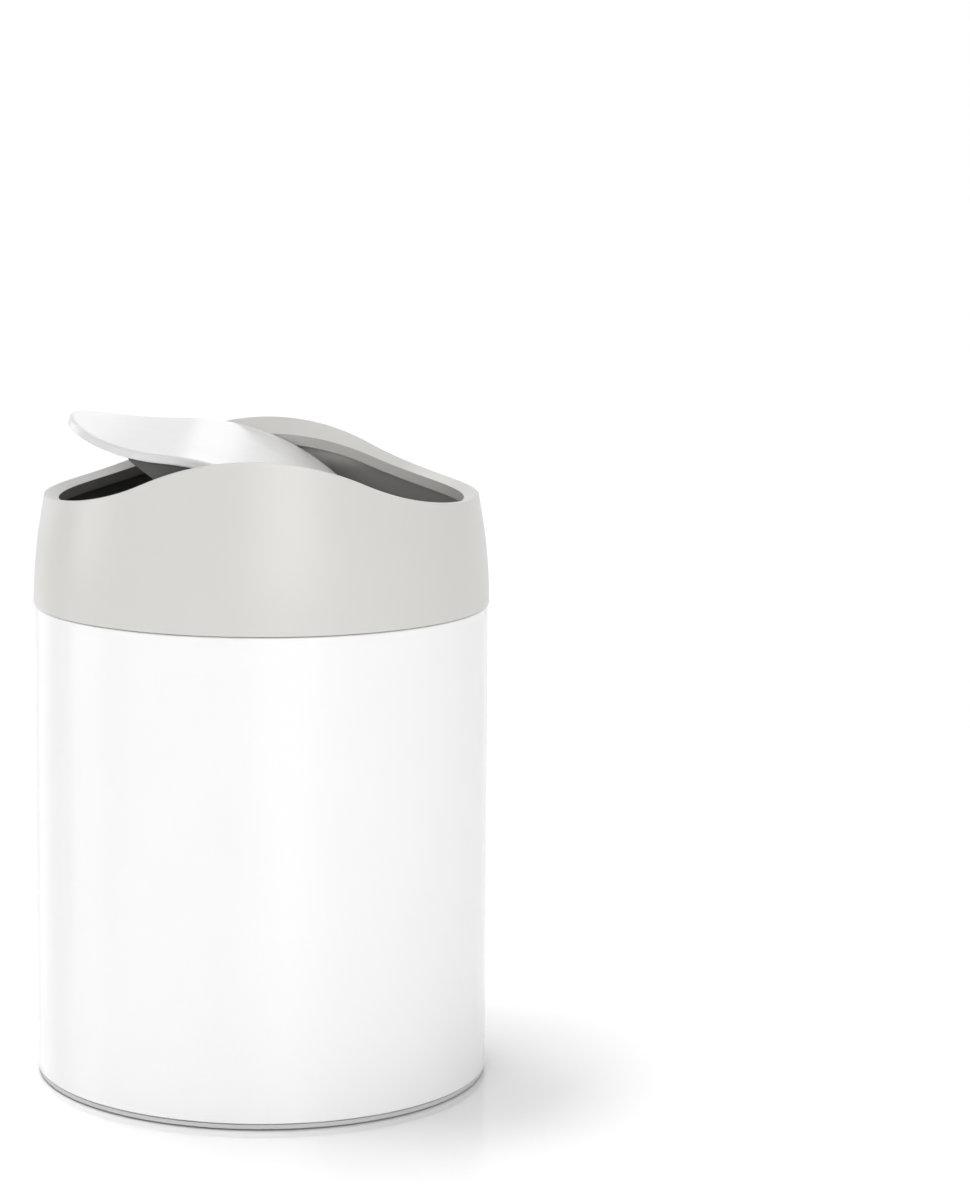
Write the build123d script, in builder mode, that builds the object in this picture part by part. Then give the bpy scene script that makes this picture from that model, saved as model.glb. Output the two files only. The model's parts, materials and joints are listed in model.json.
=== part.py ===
from build123d import *
import os
from math import cos, pi, radians, sin, sqrt, tan

# Countertop trash can with a swing lid, in millimetres, +Z up. The origin is the centre of the base on the
# counter. A steel can carries a lift-off plastic collar with a wavy rim, and the lid turns in the collar on
# two pins along Y. The lid is drawn part-way through its swing, with its -X wing up.

# ---- driving dimensions: can
can_radius = 66.0
can_wall = 0.8
can_foot_z = 2.0  # lower edge of the steel, which the base ring holds off the counter
can_foot_round = 0.3
mouth_z = 138.3
mouth_ledge = 4.0  # width of the inward ledge at the mouth, wall included
mouth_hem = 2.4  # depth of the hem that stiffens the ledge
mouth_round = 0.5
press_gap = 0.05  # between pieces pressed or screwed together

# ---- bottom plate, base ring and feet
plate_z = 6.9
plate_thickness = 0.6
plate_rim = 6.0
plate_border = 26.0  # from the can's side to the raised panel
plate_panel_rise = 0.8
ring_width = 14.0  # from the can's side to the ring's inner edge
ring_foot_z = 0.4
ring_web = 2.0
ring_wall = 1.6
ring_reveal_inset = 0.4  # how far the ring's visible band stands in from the steel
ring_groove = 0.35  # height of the shadow gap over that band
ring_groove_depth = 1.0
ring_round = 0.25
foot_count = 4
foot_inset = 8.0  # of the feet's centres from the can's side
foot_radius = 4.5
foot_seat = 0.8
foot_round = 0.25
foot_clearance = 0.1
foot_screw_radius = 1.0
foot_screw_head_radius = 2.1
foot_screw_head = 0.9
foot_screw_past_plate = 1.2
foot_boss_radius = 3.2

# ---- collar
collar_overhang = 0.36  # of its lower edge past the can's side
collar_gap = 0.3  # between that edge and the can's mouth
collar_height = 47.3  # from that edge to the crests of the rim
collar_wall = 2.0
barrel_radius = 150.0  # of the arc by which the side leans in
collar_lean = 9.8  # degrees from upright at the rim
rim_drop = 15.9  # from crest to trough
rim_crest_share = 0.45  # of each slope of the wave, that the crest's arc takes
rim_run_past = 2.0  # of the trough's lowest point outside the collar's lower edge
bevel_width = 3.3
bevel_drop = 5.0  # at the crests
bevel_trough_drop = 1.4  # in the troughs, where the bevel turns nearly level
bevel_overcut = 0.3  # of the bevel's width, by which its cutter runs past each edge
bevel_points = 48  # round each edge of that cutter
lip_height = 3.3
rim_width = 4.5  # from the side to the lip's inner face, at the foot of the bevel in the troughs
opening_draft = 8.2  # degrees by which the lip's inner face leans in towards the crests
rim_round = 0.3
lip_round = 0.4

# ---- carrier ring inside the collar
carrier_gap = 0.2
carrier_wall = 1.6
carrier_ring_height = 9.0  # above the collar's lower edge
plug_clearance = 0.5
plug_depth = 12.0
snap_height = 5.0
snap_radius = 0.6
snap_clearance = 0.15
ear_half_width = 9.0
ear_fillet = 4.0
ear_top_gap = 0.3
ear_pad_radius = 4.0
ear_pad_depth = 5.0  # before the collar's inner side trims it
ear_trim_depth = 20.0  # of the region that trims the ears, deeper than any of them
grip_band_clearance = 0.25  # to the can's mouth
grip_band_seat = 0.6  # depth of its groove in the plug
grip_band_width = 2.2
grip_band_drop = 0.6  # of its top edge below the mouth

# ---- lid, drawn level about its pivot and then turned
pivot_below_crest = 12.0
lid_tilt = 23.6  # degrees, -X wing up
lid_side_gap = 0.6  # from the tips of its wings to the opening
lid_end_gap = 1.1  # from its ends to the opening under the crests
lid_thickness = 2.6
lid_crest = 6.85  # above the pivot
lid_drop = 11.35
lid_crest_share = 0.483
lid_run_past = 1.2  # of the trough's lowest point outside the wings' tips
lid_top_round = 0.8
lid_under_round = 0.4
lid_boss_length = 3.0
lid_boss_root = 1.0  # of the boss inside the lid's thickness

# ---- lid base, the shell under the lid
base_inset = 1.6
base_wall = 1.4
base_belly = 7.75  # below the pivot
base_belly_radius = 225.0
base_half_length = 37.0
base_end_round = 1.2
pin_boss_radius = 3.0
pin_boss_length = 8.0
pin_boss_rib = 1.6
screw_x = 22.0
screw_end_inset = 23.6  # from the lid's ends
screw_post_radius = 3.0
screw_radius = 1.0
screw_head_radius = 2.2
screw_head = 1.2
screw_head_recess = 0.5
screw_head_clearance = 0.15
screw_slot = 0.5  # depth of the drive recess in a head
screw_slot_width = 0.6
screw_slot_share = 1.3  # of the recess's length in the head's radius
screw_bite = 3.6  # of the screw into the lid's own boss

# ---- pivot
pin_radius = 1.25
pin_running_clearance = 0.05
pin_head_radius = 2.1
pin_head = 1.2
pin_end_gap = 0.8  # from the pin's end to the collar's wall
bush_radius = 2.2
bush_flange_radius = 3.1
bush_flange = 0.6
bush_set_back = 0.4  # of its outer end inside the ear
pivot_end_float = 0.45  # between each washer and its bush
washer_radius = 2.9
washer_thickness = 0.9

# ---- swing stops
swing_each_way = 35.0  # degrees from level
stop_peg_radius = 1.1
stop_peg_drop = 5.4  # below the pivot
stop_sleeve_wall = 0.5
stop_clearance = 0.35
stop_rib_width = 1.8
stop_rib_height = 5.6
stop_rib_reach = 1.5  # inwards from the ear's face

# ---- counterweight
weight_length = 46.0
weight_width = 18.0
weight_height = 4.6
weight_round = 2.0
weight_seat_gap = 0.2  # over the curved floor
weight_screw_spacing = 30.0
weight_post_radius = 2.5
weight_post_clearance = 0.15
weight_screw_radius = 0.9
weight_screw_length = 4.0
weight_screw_head_radius = 3.6
weight_screw_head = 1.2

# ---- values worked out from those above
reach = 2 * can_radius  # past every piece, for cuts that go right through
ledge_radius = can_radius - mouth_ledge
bore_radius = can_radius - can_wall
collar_radius = can_radius + collar_overhang
collar_z = mouth_z + collar_gap
rim_crest_z = collar_z + collar_height
bevel_foot_z = rim_crest_z - rim_drop - bevel_trough_drop
collar_top_z = rim_crest_z + rim_width  # of the collar before the wave cuts it
pivot_z = rim_crest_z - pivot_below_crest
carrier_inset = collar_wall + carrier_gap
plug_radius = ledge_radius - plug_clearance
plug_end_z = mouth_z - plug_depth
carrier_flange_z = mouth_z + carrier_wall
sleeve_radius = stop_peg_radius + stop_sleeve_wall
stop_x = stop_peg_drop * sin(radians(swing_each_way)) + sleeve_radius + stop_clearance
stop_z = pivot_z - stop_peg_drop * cos(radians(swing_each_way))
weight_z = base_wall - base_belly + weight_seat_gap
weight_top_z = weight_z + weight_height
ends = {"front": -1, "rear": 1}
tolerance = 0.02  # of the tests that choose edges
solver_steps = 12  # which bring the meeting of a wave and the opening well under a micrometre

lid_frame = Plane(
    origin=(0, 0, pivot_z),
    x_dir=(cos(radians(lid_tilt)), 0, -sin(radians(lid_tilt))),
    z_dir=(sin(radians(lid_tilt)), 0, cos(radians(lid_tilt))),
)
lid_side = Plane(origin=lid_frame.origin, x_dir=lid_frame.x_dir, z_dir=(0, -1, 0))


class Wave:
    """A crest arc over the pivot axis that runs tangent into a trough arc on each side."""

    def __init__(self, crest, drop, trough_x, crest_share):
        self.crest = crest
        self.drop = drop
        self.trough_x = trough_x
        self.crest_share = crest_share
        self.radii = (trough_x**2 + drop**2) / (2 * drop)
        self.crest_radius = crest_share * self.radii
        self.trough_radius = self.radii - self.crest_radius
        self.join_x = crest_share * trough_x
        self.join_z = crest - crest_share * drop
        self.trough_z = crest - drop

    def lowered(self, down):
        return Wave(self.crest - down, self.drop, self.trough_x, self.crest_share)

    def inside(self, depth):
        """The parallel curve at a depth under this one."""
        crest_share = self.crest_share - depth / self.radii
        return Wave(self.crest - depth, self.drop, self.trough_x, crest_share)

    def height(self, x):
        if abs(x) < self.join_x:
            return self.crest - self.crest_radius + sqrt(self.crest_radius**2 - x**2)
        run = min(abs(x), self.trough_x) - self.trough_x
        return self.trough_z + self.trough_radius - sqrt(self.trough_radius**2 - run**2)

    def region(self, plane, depth):
        """The face under the wave, down to a depth below its troughs."""
        floor = self.trough_z - depth
        with BuildSketch(plane) as under:
            with BuildLine():
                RadiusArc((-self.join_x, self.join_z), (self.join_x, self.join_z), self.crest_radius)
                RadiusArc(
                    (self.join_x, self.join_z), (self.trough_x, self.trough_z), -self.trough_radius
                )
                Line((self.trough_x, self.trough_z), (self.trough_x, floor))
                Line((self.trough_x, floor), (-self.trough_x, floor))
                Line((-self.trough_x, floor), (-self.trough_x, self.trough_z))
                RadiusArc(
                    (-self.trough_x, self.trough_z), (-self.join_x, self.join_z), -self.trough_radius
                )
            make_face()
        return under.sketch


def barrel_side(inset, top_z):
    """The collar's side at a depth under its surface: an arc that leans in, then its tangent."""
    arc = JernArc((collar_radius - inset, collar_z), (0, 1), barrel_radius - inset, collar_lean)
    rise = top_z - (arc @ 1).Y
    tangent = Line(arc @ 1, arc @ 1 + Vector(-tan(radians(collar_lean)) * rise, rise))
    return arc @ 0, tangent @ 1


def barrel_radius_at(inset, z):
    """Radius of that side at a height on its straight upper stretch."""
    lean = radians(collar_lean)
    arc_top = collar_z + (barrel_radius - inset) * sin(lean)
    arc_end = collar_radius - inset - (barrel_radius - inset) * (1 - cos(lean))
    return arc_end - tan(lean) * (z - arc_top)


def opening_at(z):
    """Radius of the lip's inner face at a height."""
    foot_radius_there = barrel_radius_at(0, bevel_foot_z) - rim_width
    return foot_radius_there + tan(radians(opening_draft)) * (bevel_foot_z - z)


def barrel_ring(outer_inset, inner_inset, top_z):
    """The section between two such sides."""
    with BuildSketch(Plane.XZ) as ring:
        with BuildLine():
            outer_foot, outer_top = barrel_side(outer_inset, top_z)
            inner_foot, inner_top = barrel_side(inner_inset, top_z)
            Line(outer_foot, inner_foot)
            Line(outer_top, inner_top)
        make_face()
    return ring.sketch


rim_wave = Wave(rim_crest_z, rim_drop, collar_radius + rim_run_past, rim_crest_share)
foot_drop = rim_drop - (bevel_drop - bevel_trough_drop)
foot_wave = Wave(rim_crest_z - bevel_drop, foot_drop, collar_radius + rim_run_past, rim_crest_share)
lip_wave = foot_wave.lowered(lip_height)
ear_wave = lip_wave.lowered(ear_top_gap)

lid_half_length = opening_at(bevel_foot_z) - lid_side_gap
lid_half_width = opening_at(lip_wave.crest) - lid_end_gap
lid_wave = Wave(lid_crest, lid_drop, lid_half_length + lid_run_past, lid_crest_share)
lid_under_wave = lid_wave.inside(lid_thickness)

base_end_y = lid_half_width - base_inset
bush_inner_y = base_end_y + press_gap + washer_thickness + pivot_end_float
ear_face_y = bush_inner_y + bush_flange


def across(side_plane, side, y):
    """A side-on plane moved along the pivot axis to one end; extrude by -side * length to go outwards."""
    return side_plane.offset(-side * y)


def rim_edges(piece, wave, frame, is_wanted):
    """The edges of a piece that follow a wave in a frame and whose middles pass a test there."""

    def is_rim(edge):
        point = frame.to_local_coords(edge @ 0.5)
        return abs(point.Z - wave.height(point.X)) < tolerance and is_wanted(point)

    return piece.edges().filter_by(is_rim)


def edge_on(wave, width, turn):
    """Radius and height at an angle round the opening, where a wave meets its face or a width outside it."""
    z = wave.crest
    for _ in range(solver_steps):
        z = wave.height((opening_at(z) + width) * cos(turn))
    return opening_at(z) + width, z


def bevel_curve(share):
    """A closed curve round the bevel: its outer edge at 0, its inner edge at 1, past them beyond that."""
    points = []
    for step in range(bevel_points):
        turn = 2 * pi * step / bevel_points
        outer_radius, outer_z = edge_on(rim_wave, bevel_width, turn)
        inner_radius, inner_z = edge_on(foot_wave, 0, turn)
        radius = outer_radius + share * (inner_radius - outer_radius)
        z = outer_z + share * (inner_z - outer_z)
        points.append((radius * cos(turn), radius * sin(turn), z))
    return Wire([Edge.make_spline(points, periodic=True)])


def level_circle(radius, z):
    return Wire([Edge.make_circle(radius, Plane.XY.offset(z))])


def on_opening(point):
    return abs(sqrt(point.X**2 + point.Y**2) - opening_at(point.Z)) < tolerance


def on_side(point):
    return abs(sqrt(point.X**2 + point.Y**2) - barrel_radius_at(0, point.Z)) < tolerance


def on_outline(point):
    return abs((point.X / lid_half_length) ** 2 + (point.Y / lid_half_width) ** 2 - 1) < tolerance


def lid_outline(inset, height=-reach):
    """The lid's plan outline, drawn in by an inset."""
    with BuildSketch(lid_frame.offset(height)) as outline:
        Ellipse(lid_half_length - inset, lid_half_width - inset)
    return outline.sketch


def belly_height(rise, x):
    """Height of the lid base's belly, or of its floor when raised by its wall."""
    radius = base_belly_radius - rise
    return rise - base_belly + radius - sqrt(radius**2 - x**2)


def over_belly(rise, half_length):
    """The face over that arc, up past the lid."""
    edge_z = belly_height(rise, half_length)
    with BuildSketch(lid_side) as over:
        with BuildLine():
            RadiusArc((-half_length, edge_z), (half_length, edge_z), rise - base_belly_radius)
            Polyline(
                (half_length, edge_z),
                (half_length, reach),
                (-half_length, reach),
                (-half_length, edge_z),
            )
        make_face()
    return over.sketch


def on_end_corner(edge):
    """Whether an edge is one of the two between the lid base's belly and its ends."""
    point = lid_frame.to_local_coords(edge @ 0.5)
    corner_z = belly_height(0, base_half_length)
    return max(abs(abs(point.X) - base_half_length), abs(point.Z - corner_z)) < tolerance


def screw_slots(plane, places, head_radius):
    """Cross recesses across screw heads."""
    with BuildSketch(plane) as slots:
        with places:
            Rectangle(screw_slot_share * head_radius, screw_slot_width)
            Rectangle(screw_slot_width, screw_slot_share * head_radius)
    return slots.sketch


foot_places = PolarLocations(can_radius - foot_inset, foot_count, start_angle=45)
lid_screw_places = GridLocations(2 * screw_x, 2 * (lid_half_width - screw_end_inset), 2, 2)
weight_screw_places = GridLocations(0, weight_screw_spacing, 1, 2)

pieces = {}

# ---- can: a painted steel tube with a hemmed ledge round its mouth
with BuildPart() as body_shell:
    with BuildSketch(Plane.XZ):
        with BuildLine():
            Polyline(
                (can_radius, can_foot_z),
                (can_radius, mouth_z),
                (ledge_radius, mouth_z),
                (ledge_radius, mouth_z - mouth_hem),
                (ledge_radius + can_wall, mouth_z - mouth_hem),
                (ledge_radius + can_wall, mouth_z - can_wall),
                (bore_radius, mouth_z - can_wall),
                (bore_radius, can_foot_z),
                close=True,
            )
        make_face()
    revolve(axis=Axis.Z)
    rings = body_shell.edges().filter_by(GeomType.CIRCLE).group_by(Axis.Z)
    fillet(rings[-1], mouth_round)
    fillet(rings[0].sort_by(SortBy.RADIUS)[-1], can_foot_round)
pieces["body_shell"] = body_shell

# ---- bottom plate: a pressed steel dish with an upturned rim and a raised panel
with BuildPart() as bottom_plate:
    plate_radius = bore_radius - press_gap
    panel_radius = can_radius - plate_border
    panel_z = plate_z + plate_panel_rise
    with BuildSketch(Plane.XZ):
        with BuildLine():
            Polyline(
                (0, panel_z),
                (panel_radius - plate_panel_rise, panel_z),
                (panel_radius, plate_z),
                (plate_radius, plate_z),
                (plate_radius, plate_z + plate_rim),
                (plate_radius - plate_thickness, plate_z + plate_rim),
                (plate_radius - plate_thickness, plate_z + plate_thickness),
                (panel_radius, plate_z + plate_thickness),
                (panel_radius - plate_panel_rise, panel_z + plate_thickness),
                (0, panel_z + plate_thickness),
                close=True,
            )
        make_face()
    revolve(axis=Axis.Z)
    with BuildSketch(Plane.XY.offset(plate_z)):
        with foot_places:
            Circle(foot_screw_radius + press_gap)
    extrude(amount=plate_thickness, mode=Mode.SUBTRACT)
pieces["bottom_plate"] = bottom_plate

# ---- base ring: plastic, with a spigot in the tube and a thin band showing under the steel
with BuildPart() as base_ring:
    spigot_radius = bore_radius - press_gap
    band_radius = can_radius - ring_reveal_inset
    ring_inner_radius = can_radius - ring_width
    web_top_z = ring_foot_z + ring_web
    head_seat_z = ring_foot_z + foot_seat + foot_screw_head
    with BuildSketch(Plane.XZ) as ring_side:
        with BuildLine():
            Polyline(
                (ring_inner_radius, ring_foot_z),
                (band_radius, ring_foot_z),
                (band_radius, can_foot_z - ring_groove),
                (band_radius - ring_groove_depth, can_foot_z - ring_groove),
                (band_radius - ring_groove_depth, can_foot_z),
                (spigot_radius, can_foot_z),
                (spigot_radius, plate_z),
                (spigot_radius - ring_wall, plate_z),
                (spigot_radius - ring_wall, web_top_z),
                (ring_inner_radius, web_top_z),
                close=True,
            )
        make_face()
        fillet(ring_side.vertices().group_by(Axis.X)[-1], ring_round)
    revolve(axis=Axis.Z)
    with BuildSketch(Plane.XY.offset(web_top_z)):
        with foot_places:
            Circle(foot_boss_radius)
    extrude(amount=plate_z - web_top_z)
    with BuildSketch(Plane.XY.offset(ring_foot_z)):
        with foot_places:
            Circle(foot_radius + foot_clearance)
    extrude(amount=foot_seat, mode=Mode.SUBTRACT)
    with BuildSketch(Plane.XY.offset(ring_foot_z)):
        with foot_places:
            Circle(foot_screw_head_radius + foot_clearance)
    extrude(amount=head_seat_z - ring_foot_z, mode=Mode.SUBTRACT)
    with BuildSketch(Plane.XY.offset(ring_foot_z)):
        with foot_places:
            Circle(foot_screw_radius + press_gap)
    extrude(amount=plate_z - ring_foot_z, mode=Mode.SUBTRACT)
pieces["base_ring"] = base_ring

# ---- foot pads: rubber discs in the base ring's seats
with BuildPart() as foot_pads:
    with BuildSketch(Plane.XY):
        with foot_places:
            Circle(foot_radius)
    extrude(amount=ring_foot_z + foot_seat)
    fillet(foot_pads.edges().filter_by(GeomType.CIRCLE).group_by(Axis.Z)[0], foot_round)
pieces["foot_pads"] = foot_pads

# ---- foot screws: they hold the base ring to the bottom plate, and the pads cover them
with BuildPart() as foot_screws:
    with BuildSketch(Plane.XY.offset(ring_foot_z + foot_seat)):
        with foot_places:
            Circle(foot_screw_head_radius)
    extrude(amount=foot_screw_head)
    with BuildSketch(Plane.XY.offset(head_seat_z)):
        with foot_places:
            Circle(foot_screw_radius)
    extrude(amount=plate_z + plate_thickness + foot_screw_past_plate - head_seat_z)
pieces["foot_screws"] = foot_screws

# ---- collar: the thick lip, whose underside follows the bevel's inner edge at a constant height
with BuildPart() as rim_lip:
    lip_low_z = lip_wave.trough_z - lip_height
    with BuildSketch(Plane.XZ):
        with BuildLine():
            Polyline(
                (opening_at(lip_low_z), lip_low_z),
                (barrel_radius_at(collar_wall / 2, lip_low_z), lip_low_z),
                (barrel_radius_at(collar_wall / 2, collar_top_z), collar_top_z),
                (opening_at(collar_top_z), collar_top_z),
                close=True,
            )
        make_face()
    revolve(axis=Axis.Z)
    extrude(lip_wave.region(Plane.XZ, reach), amount=reach, both=True, mode=Mode.SUBTRACT)

# ---- collar shell: the leaning side with its wavy rim, and a bevel that is steep at the crests and nearly
# level in the troughs
with BuildPart() as collar_shell:
    with BuildSketch(Plane.XZ):
        add(barrel_ring(0, collar_wall, collar_top_z))
        with Locations((collar_radius - collar_wall, collar_z + snap_height)):
            Circle(snap_radius + snap_clearance, mode=Mode.SUBTRACT)
    revolve(axis=Axis.Z)
    add(rim_lip.part)
    extrude(rim_wave.region(Plane.XZ, reach), amount=reach, both=True, mode=Mode.INTERSECT)
    air_radius = opening_at(collar_top_z) - bevel_width
    bevel_cutter = Solid.make_loft(
        [
            level_circle(air_radius, collar_top_z + rim_drop),
            bevel_curve(-bevel_overcut),
            bevel_curve(1 + bevel_overcut),
            level_circle(air_radius, lip_wave.trough_z),
        ],
        ruled=True,
    )
    add(bevel_cutter, mode=Mode.SUBTRACT)
    fillet(rim_edges(collar_shell, rim_wave, Plane.XY, on_side), rim_round)
    fillet(rim_edges(collar_shell, lip_wave, Plane.XY, on_opening), lip_round)
pieces["collar_shell"] = collar_shell

# ---- collar carrier: the ring that plugs into the can, with an ear for the pivot at each end
with BuildPart() as collar_carrier:
    revolve(barrel_ring(carrier_inset, carrier_inset + carrier_wall, collar_top_z), axis=Axis.Z)
    with BuildSketch(Plane.XZ) as ring_and_ears:
        with Locations((0, collar_z)):
            Rectangle(2 * reach, carrier_ring_height, align=(Align.CENTER, Align.MIN))
            Rectangle(2 * ear_half_width, reach, align=(Align.CENTER, Align.MIN))
        corners = ring_and_ears.vertices().filter_by(lambda corner: abs(corner.X) < collar_radius)
        fillet(corners.filter_by(lambda corner: corner.Y < pivot_z), ear_fillet)
    extrude(amount=reach, both=True, mode=Mode.INTERSECT)
    for side in ends.values():
        with BuildSketch(across(Plane.XZ, side, ear_face_y)):
            with Locations((0, pivot_z)):
                Circle(ear_pad_radius)
        extrude(amount=-side * ear_pad_depth)
        with BuildSketch(across(Plane.XZ, side, ear_face_y - stop_rib_reach)):
            with Locations((-stop_x - stop_rib_width / 2, stop_z), (stop_x + stop_rib_width / 2, stop_z)):
                Rectangle(stop_rib_width, stop_rib_height)
        extrude(amount=-side * ear_pad_depth)
    inside_collar = barrel_ring(carrier_inset, carrier_inset + ear_trim_depth, collar_top_z)
    revolve(inside_collar, axis=Axis.Z, mode=Mode.INTERSECT)
    extrude(ear_wave.region(Plane.XZ, reach), amount=reach, both=True, mode=Mode.INTERSECT)
    with BuildSketch(Plane.XZ):
        with BuildLine():
            Polyline(
                (plug_radius, plug_end_z),
                (plug_radius, mouth_z),
                (collar_radius - carrier_inset, mouth_z),
                (collar_radius - carrier_inset, carrier_flange_z),
                (plug_radius - carrier_wall, carrier_flange_z),
                (plug_radius - carrier_wall, plug_end_z),
                close=True,
            )
        make_face()
        with Locations((collar_radius - carrier_inset, collar_z + snap_height)):
            Circle(snap_radius)
    revolve(axis=Axis.Z)
    with BuildSketch(Plane.XZ):
        with Locations((plug_radius - grip_band_seat, mouth_z - grip_band_drop)):
            Rectangle(plug_clearance + grip_band_seat, grip_band_width, align=(Align.MIN, Align.MAX))
    revolve(axis=Axis.Z, mode=Mode.SUBTRACT)
    with BuildSketch(Plane.XZ):
        with Locations((0, pivot_z)):
            Circle(bush_radius + press_gap)
    extrude(amount=reach, both=True, mode=Mode.SUBTRACT)
pieces["collar_carrier"] = collar_carrier

# ---- grip band: a rubber ring in the plug's groove, which steadies the collar in the can's mouth
with BuildPart() as grip_band:
    with BuildSketch(Plane.XZ):
        with Locations((plug_radius - grip_band_seat + press_gap, mouth_z - grip_band_drop - press_gap)):
            Rectangle(
                grip_band_seat + plug_clearance - grip_band_clearance - press_gap,
                grip_band_width - 2 * press_gap,
                align=(Align.MIN, Align.MAX),
            )
    revolve(axis=Axis.Z)
pieces["grip_band"] = grip_band

# ---- lid top: the glossy cover, with four screw bosses under it
with BuildPart() as lid_top:
    extrude(lid_outline(0), amount=2 * reach)
    extrude(lid_wave.region(lid_side, reach), amount=reach, both=True, mode=Mode.INTERSECT)
    extrude(lid_under_wave.region(lid_side, reach), amount=reach, both=True, mode=Mode.SUBTRACT)
    fillet(rim_edges(lid_top, lid_wave, lid_frame, on_outline), lid_top_round)
    fillet(rim_edges(lid_top, lid_under_wave, lid_frame, on_outline), lid_under_round)
    boss_end_z = lid_under_wave.height(screw_x) - lid_boss_length
    with BuildSketch(lid_frame.offset(boss_end_z)):
        with lid_screw_places:
            Circle(screw_post_radius)
    extrude(amount=lid_boss_length + lid_boss_root)
    with BuildSketch(lid_frame.offset(boss_end_z)):
        with lid_screw_places:
            Circle(screw_radius + press_gap)
    extrude(amount=screw_bite + press_gap, mode=Mode.SUBTRACT)
pieces["lid_top"] = lid_top

# ---- lid base: the hollow shell under the lid, which carries the pins, the stops' pegs and the weight
with BuildPart() as base_cavity:
    extrude(lid_outline(base_inset + base_wall), amount=2 * reach)
    cavity_side = over_belly(base_wall, base_half_length - base_wall)
    extrude(cavity_side, amount=reach, both=True, mode=Mode.INTERSECT)

with BuildPart() as lid_base:
    boss_inner_y = base_end_y - base_wall - pin_boss_length
    screw_seat_z = belly_height(0, screw_x) + screw_head_recess + screw_head
    extrude(lid_outline(base_inset), amount=2 * reach)
    add(base_cavity.part, mode=Mode.SUBTRACT)
    with BuildSketch(lid_frame.offset(-base_belly)):
        with lid_screw_places:
            Circle(screw_post_radius)
    extrude(amount=base_belly + boss_end_z - press_gap)
    with BuildSketch(lid_frame.offset(-base_belly)):
        with weight_screw_places:
            Circle(weight_post_radius)
    extrude(amount=base_belly + weight_top_z - press_gap)
    for side in ends.values():
        with BuildSketch(across(lid_side, side, boss_inner_y)):
            Circle(pin_boss_radius)
            Rectangle(pin_boss_rib, base_belly, align=(Align.CENTER, Align.MAX))
        extrude(amount=-side * (pin_boss_length + base_wall / 2))
    extrude(over_belly(0, base_half_length), amount=reach, both=True, mode=Mode.INTERSECT)
    fillet(lid_base.edges().filter_by(on_end_corner), base_end_round)
    cover_side = lid_under_wave.lowered(press_gap).region(lid_side, reach)
    extrude(cover_side, amount=reach, both=True, mode=Mode.INTERSECT)
    for side in ends.values():
        with BuildSketch(across(lid_side, side, base_end_y - base_wall)):
            with Locations((0, -stop_peg_drop)):
                Circle(stop_peg_radius)
        extrude(amount=-side * (base_wall + bush_inner_y - base_end_y))
    with BuildSketch(lid_side):
        Circle(pin_radius + press_gap)
    extrude(amount=reach, both=True, mode=Mode.SUBTRACT)
    with BuildSketch(lid_frame.offset(-reach)):
        with lid_screw_places:
            Circle(screw_head_radius + screw_head_clearance)
    extrude(amount=reach + screw_seat_z, mode=Mode.SUBTRACT)
    with BuildSketch(lid_frame.offset(-reach)):
        with lid_screw_places:
            Circle(screw_radius + press_gap)
    extrude(amount=2 * reach, mode=Mode.SUBTRACT)
    with BuildSketch(lid_frame.offset(weight_top_z)):
        with weight_screw_places:
            Circle(weight_screw_radius + press_gap)
    extrude(amount=-weight_screw_length - press_gap, mode=Mode.SUBTRACT)
pieces["lid_base"] = lid_base

# ---- lid screws: up through the lid base's posts into the lid top's bosses
with BuildPart() as lid_screws:
    with BuildSketch(lid_frame.offset(screw_seat_z - screw_head)):
        with lid_screw_places:
            Circle(screw_head_radius)
    extrude(amount=screw_head)
    with BuildSketch(lid_frame.offset(screw_seat_z)):
        with lid_screw_places:
            Circle(screw_radius)
    extrude(amount=boss_end_z + screw_bite - screw_seat_z)
    slots = screw_slots(lid_frame.offset(screw_seat_z - screw_head), lid_screw_places, screw_head_radius)
    extrude(slots, amount=screw_slot, mode=Mode.SUBTRACT)
pieces["lid_screws"] = lid_screws

# ---- counterweight: a steel bar that swings the lid level again
with BuildPart() as counterweight:
    with BuildSketch(lid_frame.offset(weight_z)):
        RectangleRounded(weight_width, weight_length, weight_round)
        with weight_screw_places:
            Circle(weight_post_radius + weight_post_clearance, mode=Mode.SUBTRACT)
    extrude(amount=weight_height)
pieces["counterweight"] = counterweight

# ---- counterweight screws: broad heads that clamp the bar over its posts
with BuildPart() as counterweight_screws:
    with BuildSketch(lid_frame.offset(weight_top_z)):
        with weight_screw_places:
            Circle(weight_screw_head_radius)
    extrude(amount=weight_screw_head)
    with BuildSketch(lid_frame.offset(weight_top_z)):
        with weight_screw_places:
            Circle(weight_screw_radius)
    extrude(amount=-weight_screw_length)
    slots = screw_slots(
        lid_frame.offset(weight_top_z + weight_screw_head), weight_screw_places, screw_head_radius
    )
    extrude(slots, amount=-screw_slot, mode=Mode.SUBTRACT)
pieces["counterweight_screws"] = counterweight_screws

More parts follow.
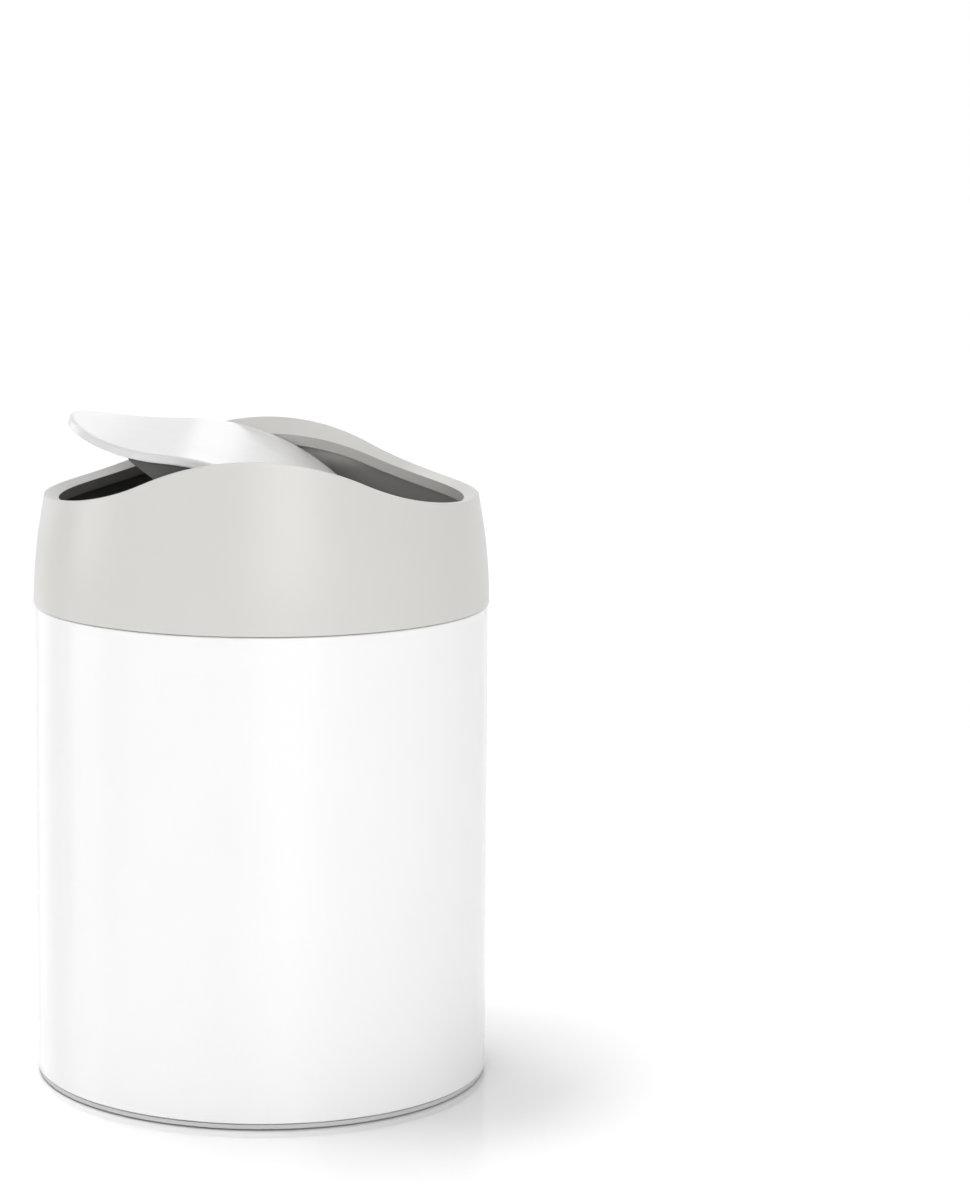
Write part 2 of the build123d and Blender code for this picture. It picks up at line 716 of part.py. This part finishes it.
# ---- pivot: at each end a steel pin, fast in the lid base, a washer on it and a bush in the ear
for end, side in ends.items():
    with BuildPart() as pin:
        pin_end_y = barrel_radius_at(collar_wall, pivot_z) - pin_end_gap
        with BuildSketch(across(lid_side, side, boss_inner_y - pin_head)):
            Circle(pin_head_radius)
        extrude(amount=-side * pin_head)
        with BuildSketch(across(lid_side, side, boss_inner_y)):
            Circle(pin_radius)
        extrude(amount=-side * (pin_end_y - boss_inner_y))
    pieces[f"pivot_pin_{end}"] = pin

    with BuildPart() as washer:
        with BuildSketch(across(lid_side, side, base_end_y + press_gap)):
            Circle(washer_radius)
            Circle(pin_radius + press_gap, mode=Mode.SUBTRACT)
        extrude(amount=-side * washer_thickness)
    pieces[f"thrust_washer_{end}"] = washer

    with BuildPart() as bush:
        bush_end_y = barrel_radius_at(carrier_inset, pivot_z) - bush_set_back
        with BuildSketch(across(Plane.XZ, side, bush_inner_y)):
            with Locations((0, pivot_z)):
                Circle(bush_flange_radius)
        extrude(amount=-side * bush_flange)
        with BuildSketch(across(Plane.XZ, side, ear_face_y)):
            with Locations((0, pivot_z)):
                Circle(bush_radius)
        extrude(amount=-side * (bush_end_y - ear_face_y))
        with BuildSketch(Plane.XZ):
            with Locations((0, pivot_z)):
                Circle(pin_radius + pin_running_clearance)
        extrude(amount=reach, both=True, mode=Mode.SUBTRACT)
    pieces[f"pivot_bush_{end}"] = bush

# ---- stop sleeves: rubber on the pegs that meet the ears' ribs at each end of the swing
with BuildPart() as stop_sleeves:
    for side in ends.values():
        with BuildSketch(across(lid_side, side, base_end_y + press_gap)):
            with Locations((0, -stop_peg_drop)):
                Circle(sleeve_radius)
                Circle(stop_peg_radius + press_gap, mode=Mode.SUBTRACT)
        extrude(amount=-side * (bush_inner_y - base_end_y - press_gap))
pieces["stop_sleeves"] = stop_sleeves

os.makedirs("parts", exist_ok=True)
for name, piece in pieces.items():
    piece.part.label = name
    export_step(piece.part, f"parts/{name}.step")
    print(name, len(piece.part.solids()), round(piece.part.volume, 1))
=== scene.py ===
import json
import math

import bpy
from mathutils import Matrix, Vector

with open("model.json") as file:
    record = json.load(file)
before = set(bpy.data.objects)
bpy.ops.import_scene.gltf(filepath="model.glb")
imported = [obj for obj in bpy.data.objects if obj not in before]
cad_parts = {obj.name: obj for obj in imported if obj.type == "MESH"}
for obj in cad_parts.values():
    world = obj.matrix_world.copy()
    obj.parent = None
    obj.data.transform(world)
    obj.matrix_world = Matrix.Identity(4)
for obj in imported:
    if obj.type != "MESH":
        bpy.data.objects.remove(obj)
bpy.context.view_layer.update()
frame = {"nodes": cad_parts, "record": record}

# ---- camera: metres and degrees, with millimetres for its lens and sensor
CAMERA_DISTANCE = 0.996  # from the can's axis
CAMERA_HEIGHT = 0.2968
CAMERA_AZIMUTH = 2.28
CAMERA_PITCH = 5.98
CAMERA_LENS = 104.67
CAMERA_SENSOR = 36.0
CAMERA_SHIFT_X = 0.1884
CAMERA_SHIFT_Y = -0.15
CAMERA_CLIP = (0.01, 20.0)

# ---- finishes
MICRON = 0.000001
WHITE = (1, 1, 1, 1)
NOISE_SPREAD = (0.25, 0.75)  # the part of 0 to 1 that noise mostly keeps to

# ---- painted shade on the collar's inner faces, which makes them darker than its outside
INNER_FACING = (0.86, 0.96)  # how squarely a face looks at the axis as this begins, and where it is complete
INNER_WALL = (0.0602, 0.0612)  # radii over which the lip's face gives way to the wall under it
# painted shade: how much of its colour the lip's face keeps, and the wall in the shade under the lip
LIP_PAINTED_SHADE = 0.78
WALL_PAINTED_SHADE = 0.38

# ---- floor
FLOOR_HALF_WIDTH = 6.0
FLOOR_COLOUR = (0.8, 0.8, 0.8, 1)
FLOOR_ROUGHNESS = 0.1
FLOOR_FADE = (0.4, 1.8)  # distances from the can over which the floor takes on its own white
FLOOR_LIFT = (0.0, 0.3)  # how much of that white it shows at each of them

# ---- light
SEEN_RAYS = ("Is Camera Ray", "Is Glossy Ray", "Is Transmission Ray")
WORLD_LIGHT = 0.18
BACKDROP_LIGHT = 1.0
LAMP_TARGET = (0, 0, 0.1)
LAMP_DISTANCE = 1.8


def make_camera():
    data = bpy.data.cameras.new("camera")
    data.sensor_width = CAMERA_SENSOR
    data.lens = CAMERA_LENS
    data.shift_x = CAMERA_SHIFT_X
    data.shift_y = CAMERA_SHIFT_Y
    data.clip_start, data.clip_end = CAMERA_CLIP
    camera = bpy.data.objects.new("camera", data)
    azimuth = math.radians(CAMERA_AZIMUTH)
    camera.location = (
        CAMERA_DISTANCE * math.sin(azimuth),
        -CAMERA_DISTANCE * math.cos(azimuth),
        CAMERA_HEIGHT,
    )
    camera.rotation_euler = (math.radians(90 - CAMERA_PITCH), 0, azimuth)
    bpy.context.collection.objects.link(camera)
    bpy.context.scene.camera = camera


def srgb(r, g, b):
    """A colour given as it shows on screen, 0 to 255."""

    def linear(value):
        value /= 255
        return value / 12.92 if value <= 0.04045 else ((value + 0.055) / 1.055) ** 2.4

    return (linear(r), linear(g), linear(b), 1.0)


def ray_share(tree):
    """1 on rays that see a thing directly, in a gloss or through glass, and 0 on all others."""
    path = tree.nodes.new("ShaderNodeLightPath")
    total = path.outputs[SEEN_RAYS[0]]
    for kind in SEEN_RAYS[1:]:
        larger = tree.nodes.new("ShaderNodeMath")
        larger.operation = "MAXIMUM"
        tree.links.new(total, larger.inputs[0])
        tree.links.new(path.outputs[kind], larger.inputs[1])
        total = larger.outputs[0]
    return total


class Material:
    """A Principled material with colour, roughness and bump from textures in the object's own space."""

    def __init__(self, name, roughness_base, metallic=0.0):
        self.data = bpy.data.materials.new(name)
        self.data.use_nodes = True
        self.tree = self.data.node_tree
        self.tree.nodes.clear()
        output = self.add("OutputMaterial")
        self.shader = self.add("BsdfPrincipled")
        self.link(self.shader.outputs["BSDF"], output.inputs["Surface"])
        self.shader.inputs["Roughness"].default_value = roughness_base
        self.shader.inputs["Metallic"].default_value = metallic
        self.place = self.add("TexCoord")
        self.bumps = None

    def add(self, kind, **settings):
        node = self.tree.nodes.new("ShaderNode" + kind)
        for key, value in settings.items():
            setattr(node, key, value)
        return node

    def link(self, source, target):
        self.tree.links.new(source, target)

    def combine(self, operation, first, second):
        """A sum, difference or product of two values, either of which may be a plain number."""
        node = self.add("Math", operation=operation)
        for socket, value in zip(node.inputs, (first, second)):
            if isinstance(value, (int, float)):
                socket.default_value = value
            else:
                self.link(value, socket)
        return node.outputs[0]

    def vector(self, operation, *sources):
        """The node for an operation on these vectors."""
        node = self.add("VectorMath", operation=operation)
        for socket, source in zip(node.inputs, sources):
            self.link(source, socket)
        return node

    def remap(self, source, before, after, easing="LINEAR"):
        """The range before laid over the range after. Values outside stay at its ends."""
        node = self.add("MapRange", interpolation_type=easing)
        node.inputs["From Min"].default_value, node.inputs["From Max"].default_value = before
        node.inputs["To Min"].default_value, node.inputs["To Max"].default_value = after
        self.link(source, node.inputs["Value"])
        return node.outputs["Result"]

    def noise(self, scale, detail=3.0, stretch=(1, 1, 1)):
        """Noise with that many features to the metre, drawn out along the axes with a small stretch."""
        mapping = self.add("Mapping")
        mapping.inputs["Scale"].default_value = stretch
        self.link(self.place.outputs["Object"], mapping.inputs["Vector"])
        node = self.add("TexNoise")
        node.inputs["Scale"].default_value = scale
        node.inputs["Detail"].default_value = detail
        self.link(mapping.outputs[0], node.inputs["Vector"])
        return node.outputs["Fac"]

    def cells(self, scale):
        """Cells, that many to the metre, each with a value of its own."""
        node = self.add("TexVoronoi")
        node.inputs["Scale"].default_value = scale
        self.link(self.place.outputs["Object"], node.inputs["Vector"])
        parts = self.add("SeparateColor")
        self.link(node.outputs["Color"], parts.inputs[0])
        return parts.outputs[0]

    def tint(self, colour, source, spread, tone=None):
        """The colour, up to a share of spread lighter or darker, times a tone where there is one."""
        level = self.remap(source, NOISE_SPREAD, (1 - spread, 1 + spread))
        if tone is not None:
            level = self.combine("MULTIPLY", level, tone)
        node = self.add("VectorMath", operation="SCALE")
        node.inputs[0].default_value = colour[:3]
        self.link(level, node.inputs["Scale"])
        self.link(node.outputs[0], self.shader.inputs["Base Color"])

    def polish(self, source, low, high):
        self.link(self.remap(source, NOISE_SPREAD, (low, high)), self.shader.inputs["Roughness"])

    def grain(self, source, depth):
        """Relief of that depth in metres, over any that is there already."""
        node = self.add("Bump")
        node.inputs["Strength"].default_value = 1.0
        node.inputs["Distance"].default_value = depth
        self.link(source, node.inputs["Height"])
        if self.bumps is not None:
            self.link(self.bumps, node.inputs["Normal"])
        self.bumps = node.outputs["Normal"]
        self.link(self.bumps, self.shader.inputs["Normal"])


def white_paint():
    """Stoved enamel on steel: a faint orange peel a few millimetres across."""
    paint = Material("white_paint", 0.17)
    paint.tint(srgb(246, 246, 246), paint.noise(30), 0.006)
    paint.polish(paint.noise(60), 0.15, 0.19)
    paint.grain(paint.noise(380, 1.0), 10 * MICRON)
    paint.grain(paint.noise(4000, 1.0), 1 * MICRON)
    return paint.data


def painted_shade_tone(plastic):
    """Painted shade: less than 1 on the collar's inner faces, the lip's face and the wall under the lip,
    where shade falls.
    """
    position = plastic.add("SeparateXYZ")
    plastic.link(plastic.place.outputs["Object"], position.inputs[0])
    flat = plastic.add("CombineXYZ")
    plastic.link(position.outputs["X"], flat.inputs["X"])
    plastic.link(position.outputs["Y"], flat.inputs["Y"])
    outwards = plastic.vector("NORMALIZE", flat.outputs[0]).outputs["Vector"]
    facing = plastic.vector("DOT_PRODUCT", plastic.place.outputs["Normal"], outwards).outputs["Value"]
    radius = plastic.vector("LENGTH", flat.outputs[0]).outputs["Value"]

    start, full = INNER_FACING
    inner = plastic.remap(facing, (-start, -full), (0.0, 1.0), "SMOOTHSTEP")
    tone = plastic.remap(radius, INNER_WALL, (LIP_PAINTED_SHADE, WALL_PAINTED_SHADE), "SMOOTHSTEP")
    loss = plastic.combine("MULTIPLY", inner, plastic.combine("SUBTRACT", 1.0, tone))
    return plastic.combine("SUBTRACT", 1.0, loss)


def collar_plastic():
    """Satin plastic from a spark-eroded mould, with painted shade on its inner faces."""
    plastic = Material("collar_plastic", 0.32)
    # the tone darkens the inner faces with painted shade
    plastic.tint(srgb(213, 211, 207), plastic.noise(22), 0.01, painted_shade_tone(plastic))
    plastic.polish(plastic.noise(90), 0.29, 0.35)
    plastic.grain(plastic.noise(2400, 2.0), 12 * MICRON)
    return plastic.data


def lid_gloss():
    """Polished plastic, with the slight unevenness of a moulding that shrank as it cooled."""
    plastic = Material("lid_gloss", 0.2)
    plastic.tint(srgb(247, 247, 247), plastic.noise(25), 0.005)
    plastic.polish(plastic.noise(50), 0.18, 0.22)
    plastic.grain(plastic.noise(70, 1.0), 10 * MICRON)
    return plastic.data


def matt_plastic(name, colour, roughness):
    """Plastic with a fine moulded grain."""
    plastic = Material(name, roughness)
    plastic.tint(colour, plastic.noise(40), 0.03)
    plastic.polish(plastic.noise(150), roughness - 0.05, roughness + 0.05)
    plastic.grain(plastic.noise(1800, 2.0), 20 * MICRON)
    return plastic.data


def rubber():
    soft = Material("rubber", 0.75)
    soft.tint(srgb(38, 38, 38), soft.noise(120), 0.12)
    soft.polish(soft.noise(400), 0.65, 0.85)
    soft.grain(soft.noise(2600, 4.0), 30 * MICRON)
    return soft.data


def zinc_sheet():
    """Pressed galvanised sheet, with the crystals of its coating."""
    steel = Material("plate_steel", 0.4, 1.0)
    crystals = steel.cells(170)
    steel.tint(srgb(196, 198, 200), crystals, 0.06)
    steel.polish(crystals, 0.3, 0.5)
    steel.grain(steel.noise(900, 3.0), 6 * MICRON)
    return steel.data


def drawn_steel(name, colour, stretch):
    """Steel marked along one direction, as drawn wire or a sawn bar is."""
    steel = Material(name, 0.38, 1.0)
    marks = steel.noise(1500, 3.0, stretch)
    steel.tint(colour, marks, 0.08)
    steel.polish(marks, 0.3, 0.46)
    steel.grain(marks, 8 * MICRON)
    return steel.data


def dress(node, material):
    mesh = frame["nodes"][node].data
    mesh.materials.clear()
    mesh.materials.append(material)


def make_floor():
    """A polished white table. Away from the can, it shows as plain white."""
    mesh = bpy.data.meshes.new("floor")
    half = FLOOR_HALF_WIDTH
    corners = [(-half, -half, 0), (half, -half, 0), (half, half, 0), (-half, half, 0)]
    mesh.from_pydata(corners, [], [(0, 1, 2, 3)])
    floor = bpy.data.objects.new("floor", mesh)
    bpy.context.collection.objects.link(floor)

    polished = Material("floor", FLOOR_ROUGHNESS)
    polished.shader.inputs["Base Color"].default_value = FLOOR_COLOUR
    polished.shader.inputs["Emission Color"].default_value = WHITE
    distance = polished.vector("LENGTH", polished.place.outputs["Object"]).outputs["Value"]
    lift = polished.remap(distance, FLOOR_FADE, FLOOR_LIFT, "SMOOTHSTEP")
    shown = polished.combine("MULTIPLY", lift, ray_share(polished.tree))
    polished.link(shown, polished.shader.inputs["Emission Strength"])
    mesh.materials.append(polished.data)
    return floor


def make_world():
    """A weak white sky that gives light, with a full white one in its place where it is seen."""
    world = bpy.data.worlds.new("world")
    world.use_nodes = True
    tree = world.node_tree
    tree.nodes.clear()
    output = tree.nodes.new("ShaderNodeOutputWorld")
    choice = tree.nodes.new("ShaderNodeMixShader")
    tree.links.new(ray_share(tree), choice.inputs["Fac"])
    for socket, strength in zip(choice.inputs[1:], (WORLD_LIGHT, BACKDROP_LIGHT)):
        sky = tree.nodes.new("ShaderNodeBackground")
        sky.inputs["Color"].default_value = WHITE
        sky.inputs["Strength"].default_value = strength
        tree.links.new(sky.outputs[0], socket)
    tree.links.new(choice.outputs[0], output.inputs["Surface"])
    bpy.context.scene.world = world


def lamp(name, azimuth, elevation, size, power):
    """A soft box that looks at the middle of the can. Azimuth 0 is in front of it and 90 to its right.

    Angles are in degrees, the two sides of the box in metres and its power in watts.
    """
    data = bpy.data.lights.new(name, "AREA")
    data.shape = "RECTANGLE"
    data.size, data.size_y = size
    data.energy = power
    turn, rise = math.radians(azimuth), math.radians(elevation)
    outwards = Vector((math.sin(turn) * math.cos(rise), -math.cos(turn) * math.cos(rise), math.sin(rise)))
    box = bpy.data.objects.new(name, data)
    box.location = Vector(LAMP_TARGET) + LAMP_DISTANCE * outwards
    box.rotation_euler = (-outwards).to_track_quat("-Z", "Y").to_euler()
    bpy.context.collection.objects.link(box)
    return box


def link_light(box, item, state):
    """Light only this item (INCLUDE) or all but this one (EXCLUDE). Everything still throws its shadow."""
    receivers = bpy.data.collections.new(box.name + "_receivers")
    receivers.objects.link(item)
    receivers.collection_objects[0].light_linking.link_state = state
    box.light_linking.receiver_collection = receivers


make_camera()
finishes = {
    "white_paint": white_paint(),
    "collar_plastic": collar_plastic(),
    "lid_gloss": lid_gloss(),
    # The lid base's and the carrier's dark greys are partly their own colour and partly painted shade for
    # the dim inside under the lid and in the collar.
    "lid_base_plastic": matt_plastic("lid_base_plastic", srgb(68, 68, 67), 0.5),
    "carrier_plastic": matt_plastic("carrier_plastic", srgb(76, 75, 68), 0.5),
    "base_plastic": matt_plastic("base_plastic", srgb(205, 205, 205), 0.5),
    "bush_nylon": matt_plastic("bush_nylon", srgb(228, 226, 216), 0.35),
    "rubber": rubber(),
    "plate_steel": zinc_sheet(),
    "screw_steel": drawn_steel("screw_steel", srgb(190, 190, 192), (1, 0.05, 1)),
    "weight_steel": drawn_steel("weight_steel", srgb(176, 176, 178), (0.05, 1, 1)),
}
for subpart in frame["record"]["subparts"]:
    dress(subpart["node"], finishes[subpart["material_slot"]])

floor = make_floor()
make_world()
lid = frame["nodes"]["lid_top"]

# The lid's gloss would show these three as blown bands from the sides and the back.
link_light(lamp("front", 15, 15, (1.2, 1.0), 9.2), lid, "EXCLUDE")
link_light(lamp("strip", 16, 20, (0.3, 1.0), 2.0), lid, "EXCLUDE")
link_light(lamp("left", -95, 15, (0.75, 1.0), 5.8), lid, "EXCLUDE")

# This one is for the lid alone, in their place.
link_light(lamp("lid_front", -55, 22, (2.0, 1.4), 3.8), lid, "INCLUDE")

lamp("front_high", 0, 60, (1.3, 0.8), 4.4)
lamp("left_front", -48, 20, (1.6, 1.3), 2.9)
lamp("left_back", -140, 15, (0.6, 1.0), 1.9)
lamp("right", 95, 42, (0.8, 0.7), 5.0)
lamp("top", 0, 88, (1.4, 1.4), 5.4)
lamp("back", 180, 45, (1.6, 0.8), 5.2)
lamp("lid_streak", 180.5, 12, (0.13, 0.3), 0.06)

# This one is for the floor alone, and throws the can's short shadow to the right.
link_light(lamp("floor", -116, 75, (1.1, 0.5), 25.5), floor, "INCLUDE")
bpy.context.scene.view_settings.view_transform = "Standard"
